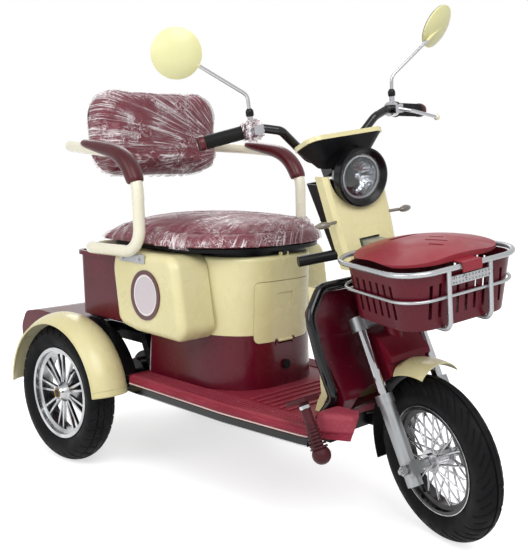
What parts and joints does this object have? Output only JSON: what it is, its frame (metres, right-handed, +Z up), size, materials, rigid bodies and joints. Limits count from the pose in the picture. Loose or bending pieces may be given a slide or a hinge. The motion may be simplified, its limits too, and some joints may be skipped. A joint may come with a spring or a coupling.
{
  "type": "electric tricycle",
  "caption": "Electric tricycle with a spoked steered front wheel, bench seat with backrest on a tube frame, lidded front basket and open rear bin.",
  "frame": {"origin": "on the floor, under the middle of the rear axle", "axes": "+X forward, +Y to the rider's left, +Z up"},
  "size_m": [1.6416, 0.829, 1.307],
  "materials": {
    "frame_black": "satin black paint",
    "maroon_plastic": "gloss maroon",
    "floor_plastic": "matt faded maroon",
    "cream_plastic": "gloss cream",
    "cream_metal": "gloss cream paint",
    "black_plastic": "satin black",
    "chrome": "polished",
    "steel": "brushed",
    "cast": "machined face",
    "tyre": "matt",
    "rubber": "matt",
    "cushion": "vinyl under thin film",
    "lens": "clear",
    "lamp_red": "gloss red",
    "lamp_grey": "gloss amber grey",
    "battery": "matt dark grey"
  },
  "bodies": {
    "chassis": {"main_frame": "frame_black", "floorboard": "floor_plastic", "shield_tube": "frame_black", "leg_shield": "maroon_plastic", "inner_panel": "cream_plastic", "brake_pedal": "rubber", "battery_pack": "battery", "seat_box_lower": "maroon_plastic", "seat_box_upper": "cream_plastic", "charge_port": "black_plastic", "side_pods": "cream_plastic", "badges": "maroon_plastic", "rear_bin": "maroon_plastic", "rear_fenders": "cream_plastic", "wheel_arches": "black_plastic", "rear_axle": "frame_black", "rear_shocks": "frame_black", "rear_rail": "chrome", "tail_cover": "maroon_plastic", "tail_lamps": "lamp_red", "seat_frame": "cream_metal", "seat_brackets": "steel", "armrests": "maroon_plastic", "backrest_cushion": "cushion", "backrest_board": "black_plastic"},
    "steering": {"fork_crown": "steel", "fork_stanchions": "chrome", "fork_lowers": "steel", "front_axle": "steel", "inner_guard": "maroon_plastic", "front_fender": "cream_plastic", "front_mudflap": "rubber", "handlebar": "chrome", "grips": "rubber", "bar_controls": "chrome", "mirrors": "cream_metal", "dash": "black_plastic", "dash_top": "cream_plastic", "headlight": "black_plastic", "headlight_lens": "lens", "shroud": "cream_plastic", "column_cover": "black_plastic", "turn_signals": "lamp_grey", "basket_cradle": "steel", "basket": "maroon_plastic", "basket_bracket": "steel", "column_lever": "black_plastic"},
    "front_wheel": {"front_rim": "steel", "front_tyre": "tyre"},
    "rear_wheel_right": {"rear_rim_right": "cast", "rear_tyre_right": "tyre"},
    "rear_wheel_left": {"rear_rim_left": "cast", "rear_tyre_left": "tyre"},
    "lid": {"basket_lid": "maroon_plastic"},
    "door": {"glovebox_door": "cream_plastic"},
    "seat": {"seat_cushion": "cushion", "seat_pan": "black_plastic"}
  },
  "joints": [
    {"name": "steering_head", "type": "hinge", "parent": "chassis", "child": "steering", "pos_m": [1.085, 0, 0.204], "axis": [-0.454, 0, 0.891], "range_deg": [-17, 55]},
    {"name": "front_wheel_spin", "type": "hinge", "parent": "steering", "child": "front_wheel", "pos_m": [1.085, 0, 0.204], "axis": [0.2901, 0.9455, 0.1478], "continuous": true},
    {"name": "rear_right_spin", "type": "hinge", "parent": "chassis", "child": "rear_wheel_right", "pos_m": [0, -0.318, 0.204], "axis": [0, 1, 0], "continuous": true},
    {"name": "rear_left_spin", "type": "hinge", "parent": "chassis", "child": "rear_wheel_left", "pos_m": [0, 0.318, 0.204], "axis": [0, 1, 0], "continuous": true},
    {"name": "basket_lid_hinge", "type": "hinge", "parent": "steering", "child": "lid", "pos_m": [0.92766, -0.02908, 0.69879], "axis": [-0.2901, -0.9455, -0.1478], "range_deg": [0, 65]},
    {"name": "glovebox_hinge", "type": "hinge", "parent": "chassis", "child": "door", "pos_m": [0.5795, 0, 0.408], "axis": [0, 1, 0], "range_deg": [0, 80]},
    {"name": "seat_hinge", "type": "hinge", "parent": "chassis", "child": "seat", "pos_m": [0.57, 0, 0.645], "axis": [0, 1, 0], "range_deg": [0, 45]}
  ]
}
